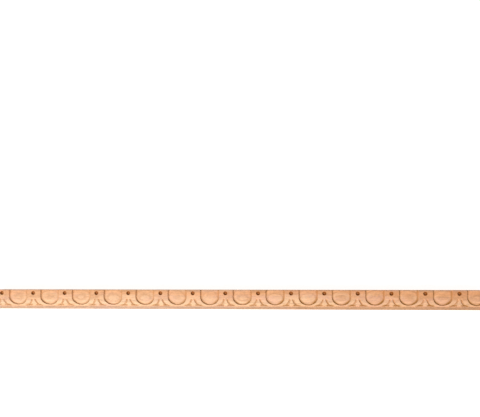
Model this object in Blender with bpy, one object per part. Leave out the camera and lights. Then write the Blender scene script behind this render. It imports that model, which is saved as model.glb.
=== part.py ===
"""Egg-and-dart moulding: one length of wood, flat behind, with a carved quarter-round face.

The face is carved in a repeating pattern. The strip lies on its flat back with its carved face up. It is
drawn in metres with X along the strip from its left end, Y across it from its thin front edge, and Z up
from its back. It is then moved so that the origin is the middle of the back.
"""

import math

import bmesh
import bpy

# The strip and its section
LENGTH = 0.495
WIDTH = 0.0200
THICKNESS = 0.0095
FRONT_HEIGHT = 0.0034  # the upright face of the thin front edge, and the flat ledge above it
OVOLO_REACH = 0.0174  # half axes of the quarter-ellipse that the face follows
OVOLO_RISE = 0.00765
OVOLO_STEPS = 10
BACK_EDGE_ROUND = 0.0006

# The repeat
PITCH = 0.0335
EYE_COUNT = 15
FIRST_EYE = 0.0040
CARVING_OFFSET = 0.0006  # how far the carving sits to the right of the drilled eyes
DART_OFFSET = 0.0004  # and its darts

# The drilled eye between two eggs
EYE_RADIUS = 0.0019
EYE_FROM_FRONT = 0.0163
EYE_DEPTH = 0.0012  # of its wall, below the face at its axis
EYE_POINT = 0.0005  # further drop of the cone in its floor
EYE_SIDES = 16

# The sunk egg, a U that is open at the back edge. Depths are below the uncarved face.
EGG_HALF_WIDTH = 0.0092
EGG_CENTRE = 0.0123  # where its arms end and its round end starts
EGG_DROP = 0.0074  # from there to the foot of its round end
EGG_CREST_DEPTH = 0.0009
EGG_BACK_CREST_DEPTH = 0.0012
EGG_SIDE_DEPTH = 0.00185
EGG_FOOT_DEPTH = 0.0014
EGG_RINGS = (0.0, 0.4, 0.7, 1.0)
EGG_ARC_STEPS = 12
WALL_LEAN = 0.22  # how far the egg's wall leans out for each unit of its height

# The two grooves that leave a dart standing, each along the outer arc of a rim down to the lower band
RIM_ARC_FROM_DART = 0.0103
RIM_ARC_FROM_FRONT = 0.0121
RIM_ARC_RADIUS = 0.00792
GROOVE_TOP = 0.0110
GROOVE_BASE = 0.0042
GROOVE_STEPS = 8
RIM_SIDE_WIDTH = 0.0008  # of the groove's side under the rim
DART_SIDE_WIDTH = 0.0014  # and of its side on the dart
GROOVE_DEPTH = 0.0013
GROOVE_TOP_DEPTH = 0.0004
GROOVE_RUN_OUT = 0.0012  # from its top to its full depth
GROOVE_EDGE_DEPTH = 0.0001

CUTTER_CLEARANCE = 0.0005  # how far a cutter stands above the face
WELD = 0.000001

WOOD_COLOUR = (0.80, 0.46, 0.24, 1.0)
WOOD_ROUGHNESS = 0.6

OVOLO_BASE = THICKNESS - OVOLO_RISE


def blend(start, end, share):
    return start + (end - start) * share


def face_height(y):
    """Height of the uncarved quarter-round face."""
    along = min(max((WIDTH - y) / OVOLO_REACH, 0.0), 1.0)
    return max(OVOLO_BASE + OVOLO_RISE * math.sqrt(1 - along * along), FRONT_HEIGHT)


def eye_positions():
    return [FIRST_EYE + PITCH * i for i in range(EYE_COUNT)]


def section_outline():
    """The uncarved section as (y, z), from the front corner of the back round over the face."""
    foot = math.asin((FRONT_HEIGHT - OVOLO_BASE) / OVOLO_RISE)
    outline = [(0.0, 0.0), (0.0, FRONT_HEIGHT)]
    for step in range(OVOLO_STEPS):
        turn = blend(foot, math.pi / 2, step / OVOLO_STEPS)
        outline.append((WIDTH - OVOLO_REACH * math.cos(turn), OVOLO_BASE + OVOLO_RISE * math.sin(turn)))
    outline.append((WIDTH - BACK_EDGE_ROUND, THICKNESS))
    outline.append((WIDTH, THICKNESS - BACK_EDGE_ROUND))
    outline.append((WIDTH, 0.0))
    return outline


def new_object(name, bm):
    bmesh.ops.remove_doubles(bm, verts=bm.verts, dist=WELD)
    bmesh.ops.recalc_face_normals(bm, faces=bm.faces)
    mesh = bpy.data.meshes.new(name)
    bm.to_mesh(mesh)
    bm.free()
    made = bpy.data.objects.new(name, mesh)
    made.location = (-LENGTH / 2, -WIDTH / 2, 0.0)
    bpy.context.scene.collection.objects.link(made)
    return made


def moulded_blank():
    """The uncarved strip, with a ring of points at each end, between two eggs and at each egg's middle."""
    bm = bmesh.new()
    stations = [0.0]
    for eye in eye_positions():
        stations += [eye + CARVING_OFFSET, eye + CARVING_OFFSET + PITCH / 2]
    stations.append(LENGTH)
    outline = section_outline()
    rings = [[bm.verts.new((x, y, z)) for y, z in outline] for x in stations]
    for ring, following in zip(rings, rings[1:]):
        for a in range(len(outline)):
            b = (a + 1) % len(outline)
            bm.faces.new((ring[a], ring[b], following[b], following[a]))
    bm.faces.new(rings[0])
    bm.faces.new(rings[-1])
    return new_object("egg_and_dart_strip", bm)


def block_between(bm, floor, roof):
    """A closed block between two grids of points. A first row may fold onto itself, as a crest does."""
    low = [[bm.verts.new(point) for point in row] for row in floor]
    high = [[bm.verts.new(point) for point in row] for row in roof]
    rows = len(low)
    columns = len(low[0])
    for grid in (low, high):
        for r in range(rows - 1):
            for c in range(columns - 1):
                bm.faces.new((grid[r][c], grid[r][c + 1], grid[r + 1][c + 1], grid[r + 1][c]))
    for c in range(columns - 1):
        bm.faces.new((low[-1][c], low[-1][c + 1], high[-1][c + 1], high[-1][c]))
    for r in range(rows - 1):
        for c in (0, columns - 1):
            bm.faces.new((low[r][c], low[r + 1][c], high[r + 1][c], high[r][c]))
    return low, high


def egg_outline(ring, grow):
    """The U at a share of its full size, as (from its middle, from the front, how far round its end)."""
    half_width = ring * (EGG_HALF_WIDTH + grow)
    drop = ring * (EGG_DROP + grow)
    arm = [(half_width, WIDTH + CUTTER_CLEARANCE, 0.0), (half_width, (WIDTH + EGG_CENTRE) / 2, 0.0)]
    outline = [(-x, y, down) for x, y, down in arm]
    for step in range(EGG_ARC_STEPS + 1):
        turn = math.pi * step / EGG_ARC_STEPS
        down = math.sin(turn)
        outline.append((-half_width * math.cos(turn), EGG_CENTRE - drop * down, down))
    return outline + arm[::-1]


def egg_depth(ring, y, down):
    """The egg's depth below the uncarved face: least along its crest, and most at its edge."""
    towards_back = min(max((y - EGG_CENTRE) / (WIDTH - EGG_CENTRE), 0.0), 1.0)
    crest = blend(EGG_CREST_DEPTH, EGG_BACK_CREST_DEPTH, towards_back)
    edge = blend(EGG_SIDE_DEPTH, EGG_FOOT_DEPTH, down)
    return blend(crest, edge, ring**2)


def cut_egg(bm, middle):
    """The sunk U with its crowned floor and leaning walls."""
    grow = WALL_LEAN * (EGG_SIDE_DEPTH + CUTTER_CLEARANCE)
    floor = []
    roof = []
    for ring in EGG_RINGS:
        floor.append([
            (middle + x, y, face_height(y) - egg_depth(ring, y, down))
            for x, y, down in egg_outline(ring, 0.0)
        ])
        roof.append([
            (middle + x, y, face_height(y) + CUTTER_CLEARANCE)
            for x, y, _ in egg_outline(ring, grow)
        ])
    block_between(bm, floor, roof)


def arc_from_dart(radius, y):
    """Distance from the dart's axis of an arc about the rim's centre, at a distance from the front edge."""
    return RIM_ARC_FROM_DART - math.sqrt(radius**2 - (RIM_ARC_FROM_FRONT - y) ** 2)


def groove_rows():
    """The groove from its top to its base, as rows of (from the dart's axis, from the front, depth)."""
    first = math.asin((RIM_ARC_FROM_FRONT - GROOVE_TOP) / RIM_ARC_RADIUS)
    last = math.asin((RIM_ARC_FROM_FRONT - GROOVE_BASE) / RIM_ARC_RADIUS)
    foot_radius = RIM_ARC_RADIUS + RIM_SIDE_WIDTH
    rows = []
    for step in range(GROOVE_STEPS + 1):
        y = RIM_ARC_FROM_FRONT - RIM_ARC_RADIUS * math.sin(blend(first, last, step / GROOVE_STEPS))
        depth = blend(GROOVE_TOP_DEPTH, GROOVE_DEPTH, min((GROOVE_TOP - y) / GROOVE_RUN_OUT, 1.0))
        rows.append([
            (arc_from_dart(RIM_ARC_RADIUS, y), y, GROOVE_EDGE_DEPTH),
            (arc_from_dart(foot_radius, y), y, depth),
            (arc_from_dart(foot_radius + DART_SIDE_WIDTH, y), y, GROOVE_EDGE_DEPTH),
        ])
    return rows


def cut_groove(bm, axis, hand):
    """The curved groove beside a dart, on its right (hand 1) or its left (hand -1)."""
    rows = groove_rows()
    floor = [[(axis + hand * x, y, face_height(y) - depth) for x, y, depth in row] for row in rows]
    roof = [[(axis + hand * x, y, face_height(y) + CUTTER_CLEARANCE) for x, y, _ in row] for row in rows]
    low, high = block_between(bm, floor, roof)
    for c in range(len(rows[0]) - 1):
        bm.faces.new((low[0][c], low[0][c + 1], high[0][c + 1], high[0][c]))


def drill_eye(bm, axis):
    """A shallow blind hole with the flat cone that a drill's point leaves."""
    bottom = face_height(EYE_FROM_FRONT) - EYE_DEPTH
    outline = [
        (0.0, THICKNESS + CUTTER_CLEARANCE),
        (EYE_RADIUS, THICKNESS + CUTTER_CLEARANCE),
        (EYE_RADIUS, bottom),
        (0.0, bottom - EYE_POINT),
    ]
    points = [bm.verts.new((axis + radius, EYE_FROM_FRONT, z)) for radius, z in outline]
    edges = [bm.edges.new(pair) for pair in zip(points, points[1:])]
    bmesh.ops.spin(
        bm,
        geom=points + edges,
        cent=(axis, EYE_FROM_FRONT, 0.0),
        axis=(0.0, 0.0, 1.0),
        angle=math.tau,
        steps=EYE_SIDES,
    )


def carving_cutters():
    """Everything that is carved away from the blank, as one guide object."""
    bm = bmesh.new()
    for eye in eye_positions():
        cut_egg(bm, eye + CARVING_OFFSET + PITCH / 2)
        cut_groove(bm, eye + DART_OFFSET, 1)
        cut_groove(bm, eye + DART_OFFSET, -1)
        drill_eye(bm, eye)
    cutters = new_object("carving_cutters", bm)
    cutters.hide_render = True
    cutters.display_type = "WIRE"
    return cutters


def carve(blank, cutters):
    cut = blank.modifiers.new("carving", "BOOLEAN")
    cut.operation = "DIFFERENCE"
    cut.solver = "EXACT"
    cut.object = cutters


def finish_in_wood(strip):
    wood = bpy.data.materials.new("beech")
    wood.use_nodes = True
    shader = wood.node_tree.nodes["Principled BSDF"]
    shader.inputs["Base Color"].default_value = WOOD_COLOUR
    shader.inputs["Roughness"].default_value = WOOD_ROUGHNESS
    shader.inputs["Metallic"].default_value = 0.0
    strip.data.materials.append(wood)


def main():
    for old in list(bpy.data.objects):
        bpy.data.objects.remove(old, do_unlink=True)
    strip = moulded_blank()
    carve(strip, carving_cutters())
    finish_in_wood(strip)


main()
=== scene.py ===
"""The looks of an egg-and-dart moulding strip: its fine carving, its bare beech and its white sweep.

The strip lies on its flat back with its carved face up. Lengths are in metres. In the carving functions y is
measured from the strip's thin front edge, and x from the middle of the feature that a function is about.
"""

import math
from typing import NamedTuple

import bmesh
import bpy
import numpy as np
from bpy.props import FloatProperty, FloatVectorProperty, IntProperty, PointerProperty
from mathutils import Color, Euler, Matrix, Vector, noise
from mathutils.geometry import delaunay_2d_cdt


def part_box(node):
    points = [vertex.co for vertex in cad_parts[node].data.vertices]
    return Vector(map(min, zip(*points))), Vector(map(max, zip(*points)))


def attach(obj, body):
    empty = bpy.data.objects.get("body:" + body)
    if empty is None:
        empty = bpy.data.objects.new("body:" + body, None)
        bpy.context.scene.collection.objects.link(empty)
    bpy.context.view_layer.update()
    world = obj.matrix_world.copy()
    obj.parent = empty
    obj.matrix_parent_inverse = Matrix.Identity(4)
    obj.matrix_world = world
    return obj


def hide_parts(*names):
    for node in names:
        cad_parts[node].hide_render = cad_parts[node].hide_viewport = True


bl_info = {
    "name": "Egg and Dart Moulding",
    "version": (1, 0, 0),
    "blender": (4, 5, 0),
    "location": "View3D > Sidebar > Moulding",
    "description": "Carves, finishes and stages a length of egg-and-dart moulding",
    "category": "Add Mesh",
}

SOLID = "egg_and_dart_strip"

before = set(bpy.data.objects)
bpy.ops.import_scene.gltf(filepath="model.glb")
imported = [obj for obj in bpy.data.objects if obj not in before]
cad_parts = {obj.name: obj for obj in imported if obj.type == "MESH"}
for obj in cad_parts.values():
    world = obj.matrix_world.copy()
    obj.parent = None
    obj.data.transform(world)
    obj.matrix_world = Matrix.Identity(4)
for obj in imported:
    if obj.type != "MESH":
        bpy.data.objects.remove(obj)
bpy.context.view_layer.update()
LOW_CORNER, HIGH_CORNER = (Vector(corner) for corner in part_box(SOLID))

# How finely the carving is meshed
ROW_SPACING = 0.00046
COLUMN_SPACING = 0.0005
CURVE_SPACING = 0.00042
CLEAR_OF_CURVES = 0.00027
MOUTH_STEPS = 40
ARRIS_SHARES = (0.0, 0.05, 0.2, 0.5, 1.0)
QUARTER_ROUND = 0.8  # about the length of a quarter round over the sum of its half axes
POINTS_AT_ONCE = 500
PLAN_EPSILON = 0.0000001
WELD = 0.000002
TINY = 1e-9
SHARP_ANGLE = math.radians(38)

# Where lines of points follow a carved edge, as distances into its hollow, or out from an eye's mouth
WALL_LINES = (-0.0007, -0.00045, -0.0003, -0.00015, 0.0, 0.00018, 0.00035, 0.0005, 0.0008)
RIM_LINES = (-0.0002, 0.0, 0.0002, 0.0004, 0.0006, 0.0008, 0.001, 0.0013, 0.0017, 0.0021)
MOUTH_LINES = (0.0, 0.00006, 0.00015, 0.00045)
BASE_CUT_LINES = (-0.0006, -0.0004, -0.0002, 0.0, 0.0002, 0.0004, 0.0006)

# Where the lines along a rim's arc and along the base cut start and end
RIM_LINE_TURN = 1.35  # about how far such a line turns, in radians
RIM_LINE_END = 1.5 * math.pi - 0.12  # just before the arc's lowest point
RIM_LINE_PAST_BASE = 0.0001
BASE_CUT_LINE_START = 0.0016
BASE_CUT_LINE_END = 0.0100

# How the grooves and the broken arris of an eye run out
GROOVE_ROUNDING = 0.2
GROOVE_TOP_RUN_OUT = 0.0012
GROOVE_BASE_RUN_OUT = 0.0004
GROOVE_TIP_RUN_OUT = 0.001
GROOVE_PAST_TIP = 0.0003
EYE_ARRIS = 0.00012

# The cut along the lower band, with distances from the dart's own axis
BASE_CUT_LIFT = 0.0001
BASE_CUT_FALL = 0.0006
BASE_CUT_FALL_START = 0.0060
BASE_CUT_FALL_LENGTH = 0.0035
BASE_CUT_START = 0.0012
BASE_CUT_START_LENGTH = 0.0016
BASE_CUT_END = 0.0108
BASE_CUT_END_LENGTH = 0.0035
BASE_CUT_ROUNDING = 0.3

# Both shares of a wall that is rounded all the way down
ALL_ROUND = 0.5

# Rings down an eye's wall, each as a share of its radius and of its depth
EYE_WALL = ((1.0, 0.45), (1.0, 0.8), (0.93, 1.0))

# Rings in over an eye's floor, each as a share of its radius and how dark it is painted: the drill's scorch
# with painted shade, darkest round the floor's edge and lighter in its middle
EYE_FLOOR = ((0.7, 1.0), (0.45, 0.7), (0.2, 0.15))

# How far from an eye's axis its mouth is looked for, and faces are kept, as shares of its radius
MOUTH_REACH = 1.05
MOUTH_EDGE = 0.995

# How dark the foot of each carved edge is painted, and how far that spreads: partly the cutter's scorch,
# partly painted shade in the grooves
EYE_DARKENING = 0.5
EYE_DARKENING_SPREAD = 0.0002
EYE_DARKENING_STRETCH = 1.15
EGG_DARKENING = 0.6
EGG_DARKENING_AT_SHOULDER = 0.95
EGG_DARKENING_INSET = 0.0005
EGG_SPREAD_OUT = 0.0007
EGG_SPREAD_OUT_AT_SHOULDER = 0.0010
EGG_SPREAD_IN_AT_SIDE = 0.0009
EGG_SPREAD_IN_AT_FOOT = 0.0006
EGG_SPREAD_IN_AT_SHOULDER = 0.0013
RIM_DARKENING = 0.5
RIM_DARKENING_SPREAD = 0.0007
RIM_DARKENING_RUN_OUT = 0.0002
BASE_CUT_DARKENING = 0.85
BASE_CUT_DARKENING_SPREAD = 0.0007
BASE_CUT_DARKENING_LIFT = 0.0002

# The cutter's wander: repeats to the metre along and across the strip, and a place in the noise
SLOW_WANDER = (45.0, 60.0, 3.1)
QUICK_WANDER = (420.0, 300.0, 7.7)
QUICK_WANDER_SHARE = 0.5
WANDER_FROM_FRONT = 0.0035
WANDER_FROM_BACK = 0.0005
WANDER_RISE = 0.002

# Places of the strip's finishes in its list of materials, after the carved face's own
SAWN, BORED, PLANED = 1, 2, 3


class Grain(NamedTuple):
    """A noise through the wood: repeats to the metre along each axis, offset, detail and roughness."""

    scale: tuple
    place: tuple = (0.0, 0.0, 0.0)
    detail: float = 3.0
    roughness: float = 0.5


class Ramp(NamedTuple):
    """A smooth change from a start to an end value, between a low and a high reading."""

    low: float
    high: float
    start: float = 0.0
    end: float = 1.0


# Growth rings: how they tilt across the strip, how far they waver, and where in each the late wood lies
RING_TILT = -0.23
RING_WAVER = Grain((22.0, 70.0, 70.0), detail=2.0)
RING_WAVER_REACH = 0.0014
RING_DRIFT = Grain((7.0, 20.0, 20.0), (3.0, 1.0, 5.0), 1.0)
RING_DRIFT_REACH = 0.004
LATE_WOOD_START = Ramp(0.35, 0.9)
LATE_WOOD_END = Ramp(0.93, 1.0, 1.0, 0.0)
RING_WARMTH = 0.8
RING_SHADE = 0.1

# Figure along the grain: each noise, and how it is read
STREAKS = Grain((30.0, 1300.0, 1300.0), detail=4.0, roughness=0.6)
STREAK_WARMTH = Ramp(0.35, 0.7, 0.0, 0.5)
PATCHES = Grain((24.0, 110.0, 110.0), (5.0, 0.0, 1.0), 2.0)
PATCH_PINK = Ramp(0.42, 0.6, 0.0, 0.85)
MOTTLE = Grain((420.0, 650.0, 650.0), (4.0, 8.0, 3.0), roughness=0.6)
MOTTLE_WARMTH = Ramp(0.42, 0.72, 0.0, 0.6)
MOTTLE_TONE = Ramp(0.3, 0.7, 0.915, 1.115)
FIBRES = Grain((160.0, 5200.0, 5200.0), (2.0, 2.0, 2.0), roughness=0.65)
FIBRE_WARMTH = Ramp(0.3, 0.75, 0.0, 0.22)
SHADES = Grain((9.0, 60.0, 60.0), (1.0, 6.0, 2.0), 2.0)
SHADE_WARMTH = Ramp(0.4, 0.62, 0.0, 0.42)
LINES = Grain((80.0, 900.0, 900.0), (6.0, 1.0, 9.0), 2.0, 0.6)
LINE_TONE = Ramp(0.3, 0.7, 0.93, 1.06)
FLECKS = Grain((420.0, 3600.0, 3600.0), (1.0, 4.0, 2.0), 1.0)
FLECK_EDGE = Ramp(0.66, 0.76)
FLECK_SHARE = 0.5

# Where the wood's colour changes across and along the strip, in metres from its middle
SWAY = Grain((14.0, 30.0, 30.0), (9.0, 0.0, 0.0))
SWAY_REACH = Ramp(0.2, 0.8, -0.0012, 0.0012)
SWAY_ALONG = 20.0  # how much further that edge sways along the strip than across it
HEART_START = Ramp(0.003, 0.007, 0.0, 0.6)
HEART_END = Ramp(0.0082, 0.0094, 1.0, 0.2)
# Painted shade: darker along the back, where the face turns away from the light
SHADE_AT_BACK = Ramp(0.006, 0.0085, 0.0, 0.12)
CREAM_START = Ramp(0.002, -0.003, 0.0, 0.42)
CREAM_END = Ramp(-0.0066, -0.0050)
CREAM_LOST_IN_EGG = 0.8
PALE_IN_EGG = 0.1
LEDGE = Ramp(-0.0060, -0.0074)
LEDGE_SHARE = 0.7
TO_RIGHT = Ramp(-0.06, 0.16)

# The edges' darkening: painted shadow that grows stronger towards the right end, and uneven
SHADOW_ALONG = Ramp(-0.25, 0.25, 0.84, 1.5)
DARKENING_NOISE = Grain((260.0, 260.0, 260.0), (7.0, 7.0, 7.0), 2.0)
DARKENING_UNEVEN = Ramp(0.25, 0.6, 0.7, 1.0)

# How much each noise lifts the grain, and where the fibres are smoother or rougher
FIBRE_LIFT = 0.7
STREAK_LIFT = 0.6
FIBRE_GLOSS = (0.2, 0.8)
SMOOTHER = 0.06
ROUGHER = 0.08

# End grain and the drill's scorch
END_RING_SHARE = 0.4
PORES = Grain((900.0, 6500.0, 6500.0), detail=2.0)
PORE_WARMTH = Ramp(0.5, 0.75, 0.0, 0.35)
PORE_LIFT = 0.4
SAW_LINES = Grain((100.0, 350.0, 4200.0), (1.0, 0.0, 0.0), 2.0)
SAW_LIFT = 0.6
DRILL_TURNS = Grain((500.0, 500.0, 4200.0), detail=2.0)
DRILL_TURN_DARKNESS = Ramp(0.4, 0.75, 1.0, 0.8)

# Half the sweep's width, and its gap under the strip
SWEEP_HALF_WIDTH = 4.0
SWEEP_GAP = 0.0001
WHITE = (1.0, 1.0, 1.0, 1.0)


class StripSizes(bpy.types.PropertyGroup):
    """The uncarved strip and its repeat."""

    length: FloatProperty(
        name="Length", description="Sawn length of the strip",
        default=HIGH_CORNER.x - LOW_CORNER.x, unit="LENGTH",
    )
    width: FloatProperty(
        name="Width", description="From the thin front edge to the thick back edge",
        default=HIGH_CORNER.y - LOW_CORNER.y, unit="LENGTH",
    )
    thickness: FloatProperty(
        name="Thickness", description="Height of the thick back edge",
        default=HIGH_CORNER.z - LOW_CORNER.z, unit="LENGTH",
    )
    ledge_height: FloatProperty(
        name="Ledge height", description="Height of the thin front edge and of the flat ledge above it",
        default=0.0034, unit="LENGTH",
    )
    ovolo_reach: FloatProperty(
        name="Ovolo reach", description="Half axis of the quarter-round face across the strip",
        default=0.0174, unit="LENGTH",
    )
    ovolo_rise: FloatProperty(
        name="Ovolo rise", description="Half axis of the quarter-round face upwards",
        default=0.00765, unit="LENGTH",
    )
    front_round: FloatProperty(
        name="Front arris", description="Radius that the front edge is eased to",
        default=0.0003, unit="LENGTH",
    )
    back_round: FloatProperty(
        name="Back arris", description="Radius that the top of the back edge is eased to",
        default=0.0007, unit="LENGTH",
    )
    pitch: FloatProperty(
        name="Repeat", description="From one eye to the next", default=0.0335, unit="LENGTH"
    )
    first_eye: FloatProperty(
        name="First eye", description="From the sawn left end to the first eye",
        default=0.0040, unit="LENGTH",
    )
    eye_count: IntProperty(name="Eyes", description="How many eyes are drilled", default=15, min=1)


class CarvingSizes(bpy.types.PropertyGroup):
    """The carved and drilled features of one repeat. Depths are below the uncarved face."""

    offset: FloatProperty(
        name="Carving offset", description="How far the carving sits to the right of the drilled eyes",
        default=0.0006, unit="LENGTH",
    )
    eye_radius: FloatProperty(
        name="Eye radius", description="Radius of a drilled eye", default=0.0019, unit="LENGTH"
    )
    eye_from_front: FloatProperty(
        name="Eye from front", description="From the front edge to an eye's axis",
        default=0.0163, unit="LENGTH",
    )
    eye_depth: FloatProperty(
        name="Eye depth", description="Depth of a drilled eye's wall", default=0.0012, unit="LENGTH"
    )
    eye_point: FloatProperty(
        name="Eye point", description="Drop of the cone in an eye's floor", default=0.0005, unit="LENGTH"
    )
    egg_half_width: FloatProperty(
        name="Egg half width", description="From an egg's middle to the middle of its wall",
        default=0.00935, unit="LENGTH",
    )
    egg_centre: FloatProperty(
        name="Egg centre", description="From the front edge to where the egg's round end starts",
        default=0.0123, unit="LENGTH",
    )
    egg_drop: FloatProperty(
        name="Egg drop", description="From there to the foot of the egg's round end",
        default=0.00755, unit="LENGTH",
    )
    egg_crest_depth: FloatProperty(
        name="Crest depth", description="Depth of an egg's crest", default=0.0009, unit="LENGTH"
    )
    egg_back_depth: FloatProperty(
        name="Crest depth at the back", description="Depth of an egg's crest at the back edge",
        default=0.0012, unit="LENGTH",
    )
    egg_side_depth: FloatProperty(
        name="Side depth", description="Depth of an egg's straight sides", default=0.00185, unit="LENGTH"
    )
    egg_foot_depth: FloatProperty(
        name="Foot depth", description="Depth at the foot of an egg", default=0.0014, unit="LENGTH"
    )
    egg_wall: FloatProperty(
        name="Egg wall", description="Width of the sloping wall around an egg",
        default=0.0010, unit="LENGTH",
    )
    rim_arc_from_dart: FloatProperty(
        name="Rim arc from dart", description="From a dart's axis to the centre of the rim's outer arc",
        default=0.0103, unit="LENGTH",
    )
    rim_arc_from_front: FloatProperty(
        name="Rim arc from front", description="From the front edge to the centre of the rim's outer arc",
        default=0.0121, unit="LENGTH",
    )
    rim_arc_radius: FloatProperty(
        name="Rim arc radius", description="Radius of the rim's outer arris", default=0.00792, unit="LENGTH"
    )
    dart_offset: FloatProperty(
        name="Dart offset", description="How far a dart stands to the left of the middle between two eggs",
        default=0.0002, unit="LENGTH",
    )
    groove_top: FloatProperty(
        name="Groove top", description="From the front edge to the narrow end of a groove",
        default=0.0110, unit="LENGTH",
    )
    groove_base: FloatProperty(
        name="Groove base", description="From the front edge to where the grooves end on the lower band",
        default=0.0042, unit="LENGTH",
    )
    groove_depth: FloatProperty(
        name="Groove depth", description="Depth of a groove between rim and dart",
        default=0.0013, unit="LENGTH",
    )
    rim_side_width: FloatProperty(
        name="Rim side width", description="Width of a groove's side under the rim",
        default=0.0008, unit="LENGTH",
    )
    dart_side_width: FloatProperty(
        name="Dart side width", description="Width of a groove's side on the dart",
        default=0.0014, unit="LENGTH",
    )
    base_cut_depth: FloatProperty(
        name="Base cut depth", description="Depth of the knife-like cut along the lower band",
        default=0.0008, unit="LENGTH",
    )
    base_cut_width: FloatProperty(
        name="Base cut width", description="Half width of that cut", default=0.0007, unit="LENGTH"
    )
    unevenness: FloatProperty(
        name="Unevenness", description="How far the cutter wandered from repeat to repeat",
        default=0.00006, unit="LENGTH",
    )


class WoodFinish(bpy.types.PropertyGroup):
    """Colours and grain of the bare beech."""

    pale: FloatVectorProperty(
        name="Pale wood", description="Early wood", subtype="COLOR", default=(0.89, 0.58, 0.36)
    )
    warm: FloatVectorProperty(
        name="Warm wood", description="Late wood and warmer patches",
        subtype="COLOR", default=(0.81, 0.43, 0.22),
    )
    pink: FloatVectorProperty(
        name="Pink wood", description="Pinkish patches", subtype="COLOR", default=(0.84, 0.48, 0.33)
    )
    heart: FloatVectorProperty(
        name="Heart side", description="Redder wood along the back edge",
        subtype="COLOR", default=(0.93, 0.43, 0.18),
    )
    cream: FloatVectorProperty(
        name="Cream wood", description="Yellower wood low on the face",
        subtype="COLOR", default=(0.80, 0.57, 0.345),
    )
    ruddy: FloatVectorProperty(
        name="Ruddy tint", description="Tint of the wood towards the right end",
        subtype="COLOR", default=(0.99, 0.905, 0.835),
    )
    outer: FloatVectorProperty(
        name="Outer side", description="Duller wood along the ledge",
        subtype="COLOR", default=(0.67, 0.435, 0.30),
    )
    ledge_tint: FloatVectorProperty(
        name="Ledge tint", description="Tint of the ledge towards the right end",
        subtype="COLOR", default=(0.96, 0.93, 0.82),
    )
    fleck: FloatVectorProperty(
        name="Fleck", description="Short ray flecks and pores", subtype="COLOR", default=(0.46, 0.19, 0.07)
    )
    end_grain: FloatVectorProperty(
        name="End grain", description="Freshly sawn ends", subtype="COLOR", default=(0.88, 0.62, 0.36)
    )
    # Colour of the painted shade at the foot of the carved walls, together with the cutter's scorch
    scorch_shade: FloatVectorProperty(
        name="Burnt", description="Where the cutter rubbed, at the foot of a wall",
        subtype="COLOR", default=(0.44, 0.190, 0.038),
    )
    # How strongly that painted shade and scorch show
    scorch_shade_share: FloatProperty(
        name="Burnt share", description="How strongly the cutter's rubbing shows",
        default=0.85, min=0.0, max=1.0, subtype="FACTOR",
    )
    # An eye's dark colour: partly the drill's scorch, partly painted shade in the hole
    scorch_and_hole_shade: FloatVectorProperty(
        name="Scorched", description="Walls of the drilled eyes and edges of their floors",
        subtype="COLOR", default=(0.33, 0.09, 0.007),
    )
    # Lighter middle of an eye's floor, against the painted shade round its edge
    bored: FloatVectorProperty(
        name="Bored", description="Middle of an eye's floor", subtype="COLOR", default=(0.52, 0.215, 0.085)
    )
    roughness: FloatProperty(
        name="Roughness", description="Of the sanded face", default=0.6, min=0.0, max=1.0, subtype="FACTOR"
    )
    ring_spacing: FloatProperty(
        name="Growth rings", description="Distance between growth rings", default=0.0010, unit="LENGTH"
    )


class Studio(bpy.types.PropertyGroup):
    """The white sweep, the light and the camera."""

    floor_colour: FloatVectorProperty(
        name="Floor", description="Colour of the sweep", subtype="COLOR", default=(0.5, 0.5, 0.5)
    )
    floor_glow: FloatProperty(
        name="Floor glow", description="Light that the sweep gives off", default=0.82, min=0.0
    )
    key_power: FloatProperty(
        name="Key light", description="Power of the key light in watts", default=15.6, min=0.0
    )
    key_size: FloatProperty(
        name="Key size", description="Width of the key light's box", default=0.56, unit="LENGTH"
    )
    key_distance: FloatProperty(
        name="Key distance", description="From the strip's middle to the key light",
        default=1.3, unit="LENGTH",
    )
    key_height: FloatProperty(
        name="Key height", description="How high the key light hangs, as an angle above the floor",
        default=math.radians(44), unit="ROTATION",
    )
    key_side: FloatProperty(
        name="Key side", description="How far the key light stands to the left of straight in front",
        default=math.radians(26), unit="ROTATION",
    )
    sky_strength: FloatProperty(
        name="Fill", description="Strength of the even light all round", default=0.35, min=0.0
    )
    lens: FloatProperty(
        name="Lens", description="Focal length in millimetres on a 36 mm wide sensor", default=37.5, min=1.0
    )
    camera_place: FloatVectorProperty(
        name="Camera place", description="Where the camera hangs above the strip",
        default=(0.0329, 0.0041, 0.5262), unit="LENGTH", subtype="TRANSLATION",
    )
    camera_turn: FloatVectorProperty(
        name="Camera turn", description="How the camera is tilted away from looking straight down",
        default=(math.radians(9.88), math.radians(2.97), math.radians(0.13)),
        unit="ROTATION", subtype="EULER",
    )


class MouldingSettings(bpy.types.PropertyGroup):
    """Everything that a user would change about the moulding."""

    strip: PointerProperty(name="Strip", description="The uncarved strip", type=StripSizes)
    carving: PointerProperty(name="Carving", description="What is carved and drilled", type=CarvingSizes)
    wood: PointerProperty(name="Wood", description="The beech's looks", type=WoodFinish)
    studio: PointerProperty(name="Studio", description="The stage around the strip", type=Studio)


def blend(start, end, share):
    return start + (end - start) * share


def wall_profile(share, arris=0.22, foot=0.5):
    """A wall's fall from 0 at its top to 1 at its foot, rounded over these shares of its width."""
    share = np.clip(share, 0.0, 1.0)
    steepness = 1.0 / (1.0 - (arris + foot) / 2)
    over_arris = steepness * share**2 / (2 * arris)
    straight = steepness * (share - arris / 2)
    into_foot = 1.0 - steepness * (1.0 - share) ** 2 / (2 * foot)
    return np.where(share < arris, over_arris, np.where(share > 1.0 - foot, into_foot, straight))


def rounded_drop(distance, radius):
    """How far a rounded arris lies below the flat beside it, at a distance from the edge."""
    into = np.clip(radius - distance, 0.0, radius)
    return radius - np.sqrt(radius**2 - into**2)


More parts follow.
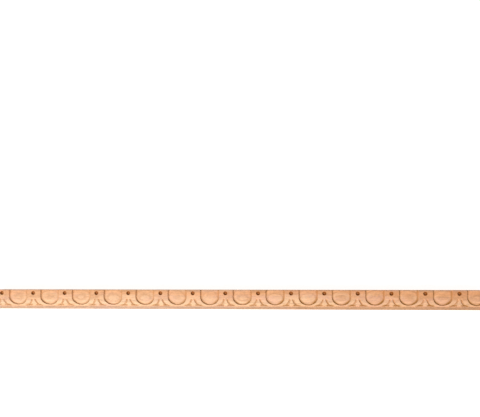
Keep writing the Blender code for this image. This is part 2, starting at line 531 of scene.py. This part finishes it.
def uncarved_face(strip, y):
    along = np.clip((strip.width - y) / strip.ovolo_reach, 0.0, 1.0)
    curve = strip.thickness - strip.ovolo_rise * (1.0 - np.sqrt(1.0 - along**2))
    return np.maximum(curve, strip.ledge_height)


def ledge_end(strip):
    """From the front edge to where the quarter-round face rises out of the ledge."""
    rise = (strip.ledge_height - strip.thickness + strip.ovolo_rise) / strip.ovolo_rise
    return strip.width - strip.ovolo_reach * math.sqrt(1.0 - rise**2)


def egg_depth(strip, carving, x, y):
    """Depth of the sunk egg, with x from its middle."""
    across = np.abs(x) / carving.egg_half_width
    down = np.maximum(carving.egg_centre - y, 0.0) / carving.egg_drop
    share = np.maximum(np.hypot(across, down), TINY)
    steepness = np.hypot(across / carving.egg_half_width, down / carving.egg_drop) / share
    inside = (1.0 - share) / np.maximum(steepness, TINY)
    wall = wall_profile(0.5 + inside / carving.egg_wall)
    towards_back = np.clip((y - carving.egg_centre) / (strip.width - carving.egg_centre), 0.0, 1.0)
    crest = blend(carving.egg_crest_depth, carving.egg_back_depth, towards_back)
    edge = blend(carving.egg_side_depth, carving.egg_foot_depth, down / share)
    return wall * blend(crest, edge, np.minimum(share, 1.0) ** 2)


def from_dart(carving, x):
    """Distance to either side of a dart's own axis."""
    return np.abs(x + carving.dart_offset)


def groove_tip(carving):
    """From a dart's axis to where the rim's outer arc meets the lower band."""
    below = carving.rim_arc_from_front - carving.groove_base
    return carving.rim_arc_from_dart - math.sqrt(carving.rim_arc_radius**2 - below**2)


def from_rim(carving, x, y):
    """Distance out from the outer arris of a rim, with x from the dart's own axis."""
    return np.hypot(x - carving.rim_arc_from_dart, y - carving.rim_arc_from_front) - carving.rim_arc_radius


def groove_depth(carving, x, y):
    """Depth of the two grooves that leave a dart standing, each along the outer arc of a rim."""
    x = from_dart(carving, x)
    out = from_rim(carving, x, y)
    dart_side = (carving.rim_side_width + carving.dart_side_width - out) / carving.dart_side_width
    return (
        carving.groove_depth
        * wall_profile(out / carving.rim_side_width, GROOVE_ROUNDING, GROOVE_ROUNDING)
        * wall_profile(dart_side, GROOVE_ROUNDING, GROOVE_ROUNDING)
        * wall_profile((y - carving.groove_base) / GROOVE_BASE_RUN_OUT)
        * wall_profile((carving.groove_top - y) / GROOVE_TOP_RUN_OUT)
        * wall_profile((groove_tip(carving) + GROOVE_PAST_TIP - x) / GROOVE_TIP_RUN_OUT)
    )


def base_cut_line(carving, x):
    """Where the cut along the lower band runs: level beside a dart, then falling away under a rim."""
    fall = wall_profile((x - BASE_CUT_FALL_START) / BASE_CUT_FALL_LENGTH, ALL_ROUND, ALL_ROUND)
    return carving.groove_base + BASE_CUT_LIFT - BASE_CUT_FALL * fall


def base_cut_share(x):
    """How deep that cut is along its length: it starts beside a dart's foot and fades out under the rim."""
    start = wall_profile((x - BASE_CUT_START) / BASE_CUT_START_LENGTH)
    return start * wall_profile((BASE_CUT_END - x) / BASE_CUT_END_LENGTH)


def base_cut(carving, x, y):
    """Depth of the cut along the lower band."""
    x = from_dart(carving, x)
    across = np.clip(1.0 - np.abs(y - base_cut_line(carving, x)) / carving.base_cut_width, 0.0, 1.0)
    depth = carving.base_cut_depth * base_cut_share(x)
    return depth * wall_profile(across, BASE_CUT_ROUNDING, BASE_CUT_ROUNDING)


def from_eye(carving, x, y):
    """Distance from an eye's axis, with x from the dart's axis."""
    return np.hypot(x + carving.offset, y - carving.eye_from_front)


def eye_drop(carving, x, y):
    """How far the drill broke the arris of an eye's mouth."""
    return rounded_drop(np.maximum(from_eye(carving, x, y) - carving.eye_radius, 0.0), EYE_ARRIS)


def bell(distance, width):
    return np.exp(-((distance / width) ** 2))


def from_egg(strip, x):
    """Distance to either side of the nearer egg's middle, with x from the dart's axis."""
    return np.abs(np.abs(x) - strip.pitch / 2)


def egg_share(strip, carving, x, y):
    """How far out a place lies in its egg, with 1 at the wall, and how much of that is down its round end."""
    down = np.maximum(carving.egg_centre - y, 0.0) / carving.egg_drop
    share = np.hypot(from_egg(strip, x) / carving.egg_half_width, down)
    return share, down / np.maximum(share, TINY)


# Darkening round an eye's mouth: partly the drill's scorch, partly painted shade
def darken_by_eye(carving, x, y):
    out = np.hypot((x + carving.offset) / EYE_DARKENING_STRETCH, y - carving.eye_from_front) - carving.eye_radius
    return EYE_DARKENING * bell(np.maximum(out, 0.0), EYE_DARKENING_SPREAD)


def darken_round_egg(strip, carving, x, y):
    """Darkening along an egg's wall, partly scorch and partly painted shade, strongest and widest at its
    shoulders.
    """
    share, round_end = egg_share(strip, carving, x, y)
    shoulder = 4.0 * round_end**2 * (1.0 - round_end**2)  # 1 midway between an egg's side and its foot
    inside = (1.0 - share) * carving.egg_half_width - EGG_DARKENING_INSET
    outwards = blend(EGG_SPREAD_OUT, EGG_SPREAD_OUT_AT_SHOULDER, shoulder)
    inwards = blend(EGG_SPREAD_IN_AT_SIDE, EGG_SPREAD_IN_AT_FOOT, round_end)
    inwards = blend(inwards, EGG_SPREAD_IN_AT_SHOULDER, shoulder)
    darkening = bell(inside, np.where(inside < 0.0, outwards, inwards))
    return darkening * blend(EGG_DARKENING, EGG_DARKENING_AT_SHOULDER, shoulder)


def darken_under_rim(carving, x, y):
    """Darkening along the bottom of a groove, partly scorch and partly painted shade, with x from the dart's
    own axis.
    """
    in_groove = wall_profile((carving.groove_top - y) / GROOVE_TOP_RUN_OUT)
    in_groove = in_groove * wall_profile((y - carving.groove_base) / RIM_DARKENING_RUN_OUT)
    beside_dart = wall_profile((carving.rim_arc_from_dart - x) / GROOVE_TIP_RUN_OUT)
    darkening = RIM_DARKENING * bell(from_rim(carving, x, y) - carving.rim_side_width, RIM_DARKENING_SPREAD)
    return darkening * in_groove * beside_dart


def darken_along_base(carving, x, y):
    """Darkening along the cut beside the lower band, partly scorch and partly painted shade, with x from the
    dart's own axis.
    """
    above = y - base_cut_line(carving, x) - BASE_CUT_DARKENING_LIFT
    return BASE_CUT_DARKENING * bell(above, BASE_CUT_DARKENING_SPREAD) * base_cut_share(x)


def scorch_and_shade(strip, carving, x, y):
    """How dark the carved edges and eyes are painted, from 0 to 1: partly the tools' scorch, partly painted
    shade.
    """
    beside = from_dart(carving, x)
    return np.maximum.reduce(
        (
            darken_round_egg(strip, carving, x, y),
            darken_under_rim(carving, beside, y),
            darken_along_base(carving, beside, y),
            darken_by_eye(carving, x, y),
        )
    )


def egg_floor_share(strip, carving, x, y):
    """1 over an egg's floor inside its wall, and 0 elsewhere."""
    share, _ = egg_share(strip, carving, x, y)
    inside = (1.0 - share) * carving.egg_half_width
    return wall_profile(0.5 + inside / carving.egg_wall, ALL_ROUND, ALL_ROUND)


def carved_height(strip, carving, x, y):
    """Height of the carved face in one repeat, with x from the dart's axis."""
    height = uncarved_face(strip, y)
    height = height - egg_depth(strip, carving, from_egg(strip, x), y)
    height = height - np.maximum(groove_depth(carving, x, y), base_cut(carving, x, y))
    height = height - eye_drop(carving, x, y)
    height = height - rounded_drop(y, strip.front_round)
    return height - rounded_drop(strip.width - y, strip.back_round)


def line_rows(strip):
    """Distances from the front edge of the rows of points, evenly spaced along the section."""
    ledge = ledge_end(strip)
    rows = [strip.front_round * share for share in ARRIS_SHARES]
    rows += list(np.arange(strip.front_round, ledge, ROW_SPACING)[1:-1]) + [ledge]
    foot = math.acos((strip.width - ledge) / strip.ovolo_reach)
    steps = round((strip.ovolo_reach + strip.ovolo_rise) * QUARTER_ROUND / ROW_SPACING)
    for step in range(1, steps):
        turn = blend(foot, math.pi / 2, step / steps)
        rows.append(strip.width - strip.ovolo_reach * math.cos(turn))
    rows = [row for row in rows if row < strip.width - strip.back_round]
    return rows + [strip.width - strip.back_round * share for share in reversed(ARRIS_SHARES)]


class Plan:
    """The points and lines of one repeat, seen from above, with x from its dart's axis."""

    def __init__(self):
        self.points = []
        self.lines = []

    def add_line(self, points, closed=False):
        first = len(self.points)
        self.points += [(float(x), float(y)) for x, y in points]
        last = len(self.points) - 1
        self.lines += [(a, a + 1) for a in range(first, last)]
        if closed:
            self.lines.append((last, first))


def spaced(length):
    return max(2, round(length / CURVE_SPACING))


def add_egg_lines(plan, strip, carving, hand):
    """Lines that follow the wall of the half egg on one side of the dart."""
    middle = strip.pitch / 2
    arm_steps = spaced(strip.width - carving.egg_centre)
    for offset in WALL_LINES:
        half_width = carving.egg_half_width - offset
        drop = carving.egg_drop - offset
        arc_steps = spaced(math.pi / 4 * (half_width + drop))
        line = []
        for step in range(arc_steps):
            turn = blend(math.pi / 2, 0.0, step / arc_steps)
            line.append((middle - half_width * math.cos(turn), carving.egg_centre - drop * math.sin(turn)))
        for step in range(arm_steps + 1):
            line.append((middle - half_width, blend(carving.egg_centre, strip.width, step / arm_steps)))
        plan.add_line([(hand * x, y) for x, y in line])


def add_groove_lines(plan, carving, hand):
    """Lines along the groove under the rim's outer arc, and along the cut beside the lower band."""
    for offset in RIM_LINES:
        radius = carving.rim_arc_radius + offset
        top = math.asin((carving.groove_top - carving.rim_arc_from_front) / radius)
        steps = spaced(radius * RIM_LINE_TURN)
        arc = []
        for step in range(steps + 1):
            turn = blend(math.pi - top, RIM_LINE_END, step / steps)
            x = carving.rim_arc_from_dart + radius * math.cos(turn)
            y = carving.rim_arc_from_front + radius * math.sin(turn)
            if y > carving.groove_base - RIM_LINE_PAST_BASE:
                arc.append((hand * x - carving.dart_offset, y))
        plan.add_line(arc)
    steps = spaced(BASE_CUT_LINE_END - BASE_CUT_LINE_START)
    reach = np.linspace(BASE_CUT_LINE_START, BASE_CUT_LINE_END, steps + 1)
    for offset in BASE_CUT_LINES:
        plan.add_line(zip(hand * reach - carving.dart_offset, base_cut_line(carving, reach) + offset))


def add_mouth_lines(plan, carving):
    """Rings around the mouth of the eye."""
    for offset in MOUTH_LINES:
        radius = carving.eye_radius + offset
        ring = []
        for step in range(MOUTH_STEPS):
            turn = math.tau * step / MOUTH_STEPS
            y = carving.eye_from_front + radius * math.sin(turn)
            ring.append((radius * math.cos(turn) - carving.offset, y))
        plan.add_line(ring, closed=True)


def filling_net(strip):
    """An even net of points over one repeat, with every other row shifted by half a space."""
    columns = round(strip.pitch / COLUMN_SPACING)
    net = []
    for number, y in enumerate(line_rows(strip)):
        shift = 0.5 * (number % 2)
        for column in range(columns + 1):
            x = strip.pitch * ((column + shift) / columns - 0.5)
            if column + shift <= columns:
                net.append((x, y))
        if shift:
            net.append((-strip.pitch / 2, y))
            net.append((strip.pitch / 2, y))
    return np.array(net)


def add_filling_points(plan, strip, carving):
    """Points over the rest of the repeat, clear of the lines but always at its corners."""
    taken = np.array(plan.points)
    net = filling_net(strip)
    nearest = np.full(len(net), np.inf)
    for start in range(0, len(taken), POINTS_AT_ONCE):
        gaps = net[:, None, :] - taken[None, start : start + POINTS_AT_ONCE, :]
        nearest = np.minimum(nearest, np.hypot(gaps[..., 0], gaps[..., 1]).min(axis=1))
    at_seam = np.abs(np.abs(net[:, 0]) - strip.pitch / 2) < TINY
    at_edge = (net[:, 1] < TINY) | (net[:, 1] > strip.width - TINY)
    outside_eye = from_eye(carving, net[:, 0], net[:, 1]) > carving.eye_radius
    keep = ((nearest > CLEAR_OF_CURVES) | (at_seam & at_edge)) & outside_eye
    plan.points += [tuple(point) for point in net[keep]]


def plan_of_repeat(strip, carving):
    """One repeat as points and triangles in plan, with the eye's mouth left open."""
    plan = Plan()
    for hand in (1, -1):
        add_egg_lines(plan, strip, carving, hand)
        add_groove_lines(plan, carving, hand)
    add_mouth_lines(plan, carving)
    add_filling_points(plan, strip, carving)
    made = delaunay_2d_cdt([Vector(point) for point in plan.points], plan.lines, [], 0, PLAN_EPSILON, False)
    points = np.array([tuple(point) for point in made[0]])
    triangles = np.array(made[2])
    middles = points[triangles].mean(axis=1)
    outside_eye = from_eye(carving, middles[:, 0], middles[:, 1]) > carving.eye_radius * MOUTH_EDGE
    return points, triangles[outside_eye]


def wander(strip, carving, x, y):
    """Small smooth differences in depth along the strip, as a cutter and its feed leave them."""
    drifts = []
    for along, across, place in (SLOW_WANDER, QUICK_WANDER):
        drifts.append(np.array([noise.noise((px * along, py * across, place)) for px, py in zip(x, y)]))
    from_edge = np.minimum(y - WANDER_FROM_FRONT, strip.width - WANDER_FROM_BACK - y)
    inside = np.clip(from_edge / WANDER_RISE, 0.0, 1.0)
    return carving.unevenness * inside * (1.0 + (drifts[0] + QUICK_WANDER_SHARE * drifts[1]))


def carved_surface(strip, carving):
    """All repeats side by side as one open mesh, trimmed to the sawn ends."""
    points, triangles = plan_of_repeat(strip, carving)
    heights = carved_height(strip, carving, points[:, 0], points[:, 1])
    # Painted shade at the foot of the carved walls, together with the cutter's scorch, kept on each point
    darkened = scorch_and_shade(strip, carving, points[:, 0], points[:, 1])
    cut = egg_floor_share(strip, carving, points[:, 0], points[:, 1])
    bm = bmesh.new()
    scorch_shade = bm.verts.layers.float.new("scorch_and_shade")
    on_egg_floor = bm.verts.layers.float.new("on_egg_floor")
    seam = []
    for repeat in range(strip.eye_count + 1):
        x = points[:, 0] + strip.first_eye + carving.offset + strip.pitch * repeat
        z = heights - wander(strip, carving, x, points[:, 1])
        verts = [bm.verts.new(place) for place in zip(x, points[:, 1], z)]
        for vert, darkening, new in zip(verts, darkened, cut):
            vert[scorch_shade] = darkening
            vert[on_egg_floor] = new
        for a, b, c in triangles:
            bm.faces.new((verts[a], verts[b], verts[c]))
        at_seam = np.abs(np.abs(points[:, 0]) - strip.pitch / 2) < WELD
        seam += [vert for vert, joins in zip(verts, at_seam) if joins]
    bmesh.ops.remove_doubles(bm, verts=seam, dist=WELD)
    for place, outwards in ((0.0, -1.0), (strip.length, 1.0)):
        bmesh.ops.bisect_plane(
            bm,
            geom=bm.verts[:] + bm.edges[:] + bm.faces[:],
            plane_co=(place, 0.0, 0.0),
            plane_no=(outwards, 0.0, 0.0),
            clear_outer=True,
            dist=WELD,
        )
    return bm


def only(geometry, kind):
    return [part for part in geometry if isinstance(part, kind)]


def bore_eyes(bm, strip, carving):
    """Takes each eye's mouth down its wall and in over its coned floor."""
    lip = float(uncarved_face(strip, carving.eye_from_front))
    # Each ring's darkness is the drill's scorch with painted shade, darkest round the floor's edge
    rings = [(radius, drop * carving.eye_depth, 1.0) for radius, drop in EYE_WALL]
    for radius, darkness in EYE_FLOOR:
        rings.append((radius, carving.eye_depth + carving.eye_point * (1.0 - radius), darkness))
    scorch_shade = bm.verts.layers.float["scorch_and_shade"]
    mouths = [edge for edge in bm.edges if edge.is_boundary]
    for number in range(strip.eye_count):
        axis = Vector((strip.first_eye + strip.pitch * number, carving.eye_from_front, 0.0))
        reach = carving.eye_radius * MOUTH_REACH
        near = [edge for edge in mouths if all((vert.co.xy - axis.xy).length < reach for vert in edge.verts)]
        for share, drop, darkness in rings:
            grown = bmesh.ops.extrude_edge_only(bm, edges=near)["geom"]
            near = only(grown, bmesh.types.BMEdge)
            for vert in only(grown, bmesh.types.BMVert):
                outwards = (vert.co.xy - axis.xy).normalized() * carving.eye_radius * share
                vert.co = (axis.x + outwards.x, axis.y + outwards.y, lip - drop)
                vert[scorch_shade] = darkness
            for face in only(grown, bmesh.types.BMFace):
                face.material_index = BORED
        tip = bm.verts.new((axis.x, axis.y, lip - carving.eye_depth - carving.eye_point))
        for edge in [edge for edge in near if edge.is_boundary]:
            face = bm.faces.new((*edge.verts, tip))
            face.material_index = BORED


def close_solid(bm, strip):
    """Drops the sides and the sawn ends to the back, and closes the back."""
    rim = [edge for edge in bm.edges if edge.is_boundary]
    grown = bmesh.ops.extrude_edge_only(bm, edges=rim)["geom"]
    for vert in only(grown, bmesh.types.BMVert):
        vert.co.z = 0.0
    for face in only(grown, bmesh.types.BMFace):
        middle = face.calc_center_median().x
        sawn = middle < WELD or middle > strip.length - WELD
        face.material_index = SAWN if sawn else PLANED
    base = [edge for edge in bm.edges if edge.is_boundary]
    for face in bmesh.ops.contextual_create(bm, geom=base)["faces"]:
        face.material_index = PLANED
    bmesh.ops.recalc_face_normals(bm, faces=bm.faces[:])


def build_strip(settings):
    strip = settings.strip
    carving = settings.carving
    bm = carved_surface(strip, carving)
    bore_eyes(bm, strip, carving)
    close_solid(bm, strip)
    bmesh.ops.translate(bm, verts=bm.verts[:], vec=LOW_CORNER)
    mesh = bpy.data.meshes.new("carved_strip")
    bm.to_mesh(mesh)
    bm.free()
    mesh.shade_smooth()
    mesh.set_sharp_from_angle(angle=SHARP_ANGLE)
    piece = bpy.data.objects.new("carved_strip", mesh)
    bpy.context.scene.collection.objects.link(piece)
    return piece


class NodeBench:
    """Adds nodes to a material, each with its inputs set or linked by name."""

    def __init__(self, name):
        self.material = bpy.data.materials.new(name)
        self.material.use_nodes = True
        self.tree = self.material.node_tree
        self.shader = self.tree.nodes["Principled BSDF"]

    def add(self, kind, inputs=None, **settings):
        made = self.tree.nodes.new(kind)
        for key, value in settings.items():
            setattr(made, key, value)
        for key, value in (inputs or {}).items():
            self.feed(made.inputs[key], value)
        return made

    def feed(self, socket, value):
        if isinstance(value, bpy.types.NodeSocket):
            self.tree.links.new(value, socket)
        else:
            socket.default_value = (*value, 1.0) if isinstance(value, Color) else value

    def place(self):
        """Where in the wood a point lies, as X, Y and Z."""
        where = self.add("ShaderNodeTexCoord").outputs["Object"]
        return self.add("ShaderNodeSeparateXYZ", {"Vector": where}).outputs

    def attribute(self, name):
        return self.add("ShaderNodeAttribute", attribute_name=name).outputs["Fac"]

    def noise(self, grain):
        where = self.add("ShaderNodeTexCoord").outputs["Object"]
        inputs = {"Vector": where, "Scale": grain.scale, "Location": grain.place}
        vector = self.add("ShaderNodeMapping", inputs).outputs["Vector"]
        inputs = {"Vector": vector, "Scale": 1.0, "Detail": grain.detail, "Roughness": grain.roughness}
        return self.add("ShaderNodeTexNoise", inputs).outputs["Fac"]

    def remap(self, value, ramp):
        ends = {"From Min": ramp.low, "From Max": ramp.high, "To Min": ramp.start, "To Max": ramp.end}
        made = self.add("ShaderNodeMapRange", {"Value": value, **ends}, interpolation_type="SMOOTHSTEP")
        return made.outputs["Result"]

    def maths(self, operation, first, second):
        return self.add("ShaderNodeMath", {0: first, 1: second}, operation=operation).outputs["Value"]

    def times(self, value, *others):
        for other in others:
            value = self.maths("MULTIPLY", value, other)
        return value

    def plus(self, value, *others):
        for other in others:
            value = self.maths("ADD", value, other)
        return value

    def less(self, value, other):
        return self.maths("SUBTRACT", value, other)

    def mix(self, share, first, second, blend_type="MIX"):
        inputs = {"Factor": share, "A": first, "B": second}
        return self.add("ShaderNodeMix", inputs, data_type="RGBA", blend_type=blend_type).outputs["Result"]

    def bump(self, height, strength, distance):
        inputs = {"Height": height, "Strength": strength, "Distance": distance}
        return self.add("ShaderNodeBump", inputs).outputs["Normal"]

    def finish(self, **inputs):
        """Feeds the material's shader, with each input's name in lower case and joined by underscores."""
        for socket in self.shader.inputs:
            name = socket.name.lower().replace(" ", "_")
            if name in inputs:
                self.feed(socket, inputs[name])
        return self.material


def growth_rings(bench, wood):
    """Share of late wood: thin lines of growth rings, cut by the carving into contours."""
    place = bench.place()
    radius = bench.plus(
        place["Z"],
        bench.times(place["Y"], RING_TILT),
        bench.times(bench.noise(RING_WAVER), RING_WAVER_REACH),
        bench.times(bench.noise(RING_DRIFT), RING_DRIFT_REACH),
    )
    turns = bench.maths("FRACT", bench.maths("DIVIDE", radius, wood.ring_spacing), 0.0)
    return bench.times(bench.remap(turns, LATE_WOOD_START), bench.remap(turns, LATE_WOOD_END))


def figure(bench, wood, streaks, mottle, fibres, rings, flecks):
    """The wood's colour before its place on the strip tells: late wood, patches, mottle and flecks."""
    warmth = bench.plus(bench.remap(streaks, STREAK_WARMTH), bench.times(rings, RING_WARMTH))
    colour = bench.mix(warmth, wood.pale, wood.warm)
    colour = bench.mix(bench.remap(bench.noise(PATCHES), PATCH_PINK), colour, wood.pink)
    shades = bench.noise(SHADES)
    for value, ramp in ((mottle, MOTTLE_WARMTH), (fibres, FIBRE_WARMTH), (shades, SHADE_WARMTH)):
        colour = bench.mix(bench.remap(value, ramp), colour, wood.warm)
    return bench.mix(bench.times(flecks, FLECK_SHARE), colour, wood.fleck)


def by_place(bench, wood, colour, place, sway, to_right, on_egg_floor):
    """Redder wood at the back, creamier wood low on the face, a duller ledge, and paler eggs."""
    waved = bench.plus(place["Y"], sway)
    heart = bench.times(bench.remap(waved, HEART_START), bench.remap(waved, HEART_END))
    colour = bench.mix(heart, colour, wood.heart)
    on_ledge = bench.remap(place["Y"], LEDGE)
    colour = bench.mix(bench.times(on_ledge, LEDGE_SHARE), colour, wood.outer)
    colour = bench.mix(bench.times(on_ledge, to_right), colour, wood.ledge_tint, "MULTIPLY")
    low = bench.times(
        bench.remap(waved, CREAM_START),
        bench.remap(place["Y"], CREAM_END),
        bench.less(1.0, bench.times(on_egg_floor, CREAM_LOST_IN_EGG)),
    )
    colour = bench.mix(low, colour, wood.cream)
    return bench.mix(bench.times(on_egg_floor, PALE_IN_EGG), colour, wood.pale)


def tone(bench, mottle, rings, place, on_egg_floor):
    """How light the wood is, around 1: mottled, lined, darker in late wood, and with painted shade along the
    back outside the eggs.
    """
    back_shade = bench.times(bench.remap(place["Y"], SHADE_AT_BACK), bench.less(1.0, on_egg_floor))
    return bench.times(
        bench.remap(mottle, MOTTLE_TONE),
        bench.remap(bench.noise(LINES), LINE_TONE),
        bench.less(1.0, bench.times(rings, RING_SHADE)),
        bench.less(1.0, back_shade),
    )


def long_grain(wood, name, marked):
    """Beech seen along the grain, with the cutter's marks on the carved face or without them."""
    bench = NodeBench(name)
    place = bench.place()
    streaks, mottle, fibres = (bench.noise(grain) for grain in (STREAKS, MOTTLE, FIBRES))
    rings = growth_rings(bench, wood)
    flecks = bench.remap(bench.noise(FLECKS), FLECK_EDGE)
    sway = bench.remap(bench.noise(SWAY), SWAY_REACH)
    to_right = bench.remap(bench.plus(place["X"], bench.times(sway, SWAY_ALONG)), TO_RIGHT)
    on_egg_floor = bench.attribute("on_egg_floor") if marked else 1.0
    colour = figure(bench, wood, streaks, mottle, fibres, rings, flecks)
    colour = by_place(bench, wood, colour, place, sway, to_right, on_egg_floor)
    colour = bench.mix(1.0, colour, tone(bench, mottle, rings, place, on_egg_floor), "MULTIPLY")
    colour = bench.mix(to_right, colour, wood.ruddy, "MULTIPLY")
    # Painted shade in the grooves and round the eyes, with the cutter's scorch, darkens the wood towards that
    # colour
    if marked:
        # Painted shadow: the darkening grows towards the right end
        along = bench.remap(place["X"], SHADOW_ALONG)
        uneven = bench.remap(bench.noise(DARKENING_NOISE), DARKENING_UNEVEN)
        darkened = bench.times(bench.attribute("scorch_and_shade"), along, uneven, wood.scorch_shade_share)
        colour = bench.mix(darkened, colour, wood.scorch_shade)
    lift = bench.plus(bench.times(fibres, FIBRE_LIFT), bench.times(streaks, STREAK_LIFT))
    lift = bench.less(lift, bench.times(flecks, FLECK_SHARE))
    gloss = Ramp(*FIBRE_GLOSS, wood.roughness - SMOOTHER, wood.roughness + ROUGHER)
    return bench.finish(
        base_color=colour,
        roughness=bench.remap(fibres, gloss),
        normal=bench.bump(lift, strength=0.35, distance=0.00012),
        specular_ior_level=0.3,
    )


def sawn_end(wood):
    """End grain: pale, with growth rings, pores and the lines of the saw."""
    bench = NodeBench("beech_end_grain")
    pores = bench.noise(PORES)
    rings = growth_rings(bench, wood)
    colour = bench.mix(bench.times(rings, END_RING_SHARE), wood.end_grain, wood.warm)
    colour = bench.mix(bench.remap(pores, PORE_WARMTH), colour, wood.warm)
    lift = bench.plus(bench.times(bench.noise(SAW_LINES), SAW_LIFT), bench.times(pores, PORE_LIFT))
    normal = bench.bump(lift, strength=0.5, distance=0.00015)
    return bench.finish(base_color=colour, roughness=0.8, normal=normal, specular_ior_level=0.2)


def scorched_and_shaded_bore(wood):
    """A drilled eye, dark at its wall and round its floor with a lighter middle: partly the drill's scorch,
    partly painted shade in the hole, with rings where it turned.
    """
    bench = NodeBench("scorched_beech")
    turns = bench.noise(DRILL_TURNS)
    darkness = bench.times(bench.attribute("scorch_and_shade"), bench.remap(turns, DRILL_TURN_DARKNESS))
    colour = bench.mix(darkness, wood.bored, wood.scorch_and_hole_shade)
    normal = bench.bump(turns, strength=0.4, distance=0.0001)
    return bench.finish(base_color=colour, roughness=0.85, normal=normal, specular_ior_level=0.15)


def white_sweep(studio):
    return NodeBench("white_sweep").finish(
        base_color=studio.floor_colour,
        roughness=0.9,
        specular_ior_level=0.1,
        emission_color=WHITE,
        emission_strength=studio.floor_glow,
    )


def lay_floor(studio):
    bm = bmesh.new()
    bmesh.ops.create_grid(bm, x_segments=8, y_segments=8, size=SWEEP_HALF_WIDTH)
    mesh = bpy.data.meshes.new("floor")
    bm.to_mesh(mesh)
    bm.free()
    floor = bpy.data.objects.new("floor", mesh)
    floor.location.z = LOW_CORNER.z - SWEEP_GAP
    floor.data.materials.append(white_sweep(studio))
    bpy.context.scene.collection.objects.link(floor)


def light_stage(studio):
    light = bpy.data.lights.new("key_light", "AREA")
    light.shape = "SQUARE"
    light.size = studio.key_size
    light.energy = studio.key_power
    lamp = bpy.data.objects.new("key_light", light)
    lamp.rotation_euler = (math.pi / 2 - studio.key_height, 0.0, -studio.key_side)
    lamp.location = lamp.rotation_euler.to_matrix() @ Vector((0.0, 0.0, studio.key_distance))
    bpy.context.scene.collection.objects.link(lamp)
    world = bpy.data.worlds.new("studio")
    world.use_nodes = True
    background = world.node_tree.nodes["Background"]
    background.inputs["Color"].default_value = WHITE
    background.inputs["Strength"].default_value = studio.sky_strength
    bpy.context.scene.world = world


def place_camera(studio):
    camera = bpy.data.cameras.new("camera")
    camera.lens = studio.lens
    camera.sensor_width = 36.0
    camera.clip_start = 0.01
    rig = bpy.data.objects.new("camera", camera)
    rig.location = studio.camera_place
    rig.rotation_euler = Euler(studio.camera_turn, "XYZ")
    bpy.context.scene.collection.objects.link(rig)
    bpy.context.scene.camera = rig


class MOULDING_OT_carve_strip(bpy.types.Operator):
    """Carve the strip, drill its eyes and give it its finishes"""

    bl_idname = "moulding.carve_strip"
    bl_label = "Carve Strip"

    def execute(self, context):
        settings = context.scene.moulding
        wood = settings.wood
        piece = build_strip(settings)
        piece.data.materials.append(long_grain(wood, "beech", marked=True))
        piece.data.materials.append(sawn_end(wood))
        piece.data.materials.append(scorched_and_shaded_bore(wood))
        piece.data.materials.append(long_grain(wood, "planed_beech", marked=False))
        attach(piece, "root")
        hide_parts(SOLID)
        return {"FINISHED"}


class MOULDING_OT_set_stage(bpy.types.Operator):
    """Lay the white sweep, hang the light and place the camera"""

    bl_idname = "moulding.set_stage"
    bl_label = "Set Stage"

    def execute(self, context):
        studio = context.scene.moulding.studio
        lay_floor(studio)
        light_stage(studio)
        place_camera(studio)
        context.scene.view_settings.view_transform = "Standard"
        return {"FINISHED"}


class MOULDING_PT_panel(bpy.types.Panel):
    """Lists the moulding's settings and the steps that make it"""

    bl_idname = "MOULDING_PT_panel"
    bl_label = "Egg and Dart Moulding"
    bl_space_type = "VIEW_3D"
    bl_region_type = "UI"
    bl_category = "Moulding"

    def draw(self, context):
        settings = context.scene.moulding
        layout = self.layout
        for heading in MouldingSettings.__annotations__:
            group = getattr(settings, heading)
            box = layout.box()
            box.label(text=heading.capitalize())
            for name in type(group).__annotations__:
                box.prop(group, name)
        layout.operator(MOULDING_OT_carve_strip.bl_idname)
        layout.operator(MOULDING_OT_set_stage.bl_idname)


CLASSES = (
    StripSizes,
    CarvingSizes,
    WoodFinish,
    Studio,
    MouldingSettings,
    MOULDING_OT_carve_strip,
    MOULDING_OT_set_stage,
    MOULDING_PT_panel,
)


def register():
    for cls in CLASSES:
        bpy.utils.register_class(cls)
    bpy.types.Scene.moulding = PointerProperty(type=MouldingSettings)


def unregister():
    del bpy.types.Scene.moulding
    for cls in reversed(CLASSES):
        bpy.utils.unregister_class(cls)


def main():
    register()
    bpy.ops.moulding.carve_strip()
    bpy.ops.moulding.set_stage()


if __name__ == "__main__":
    main()
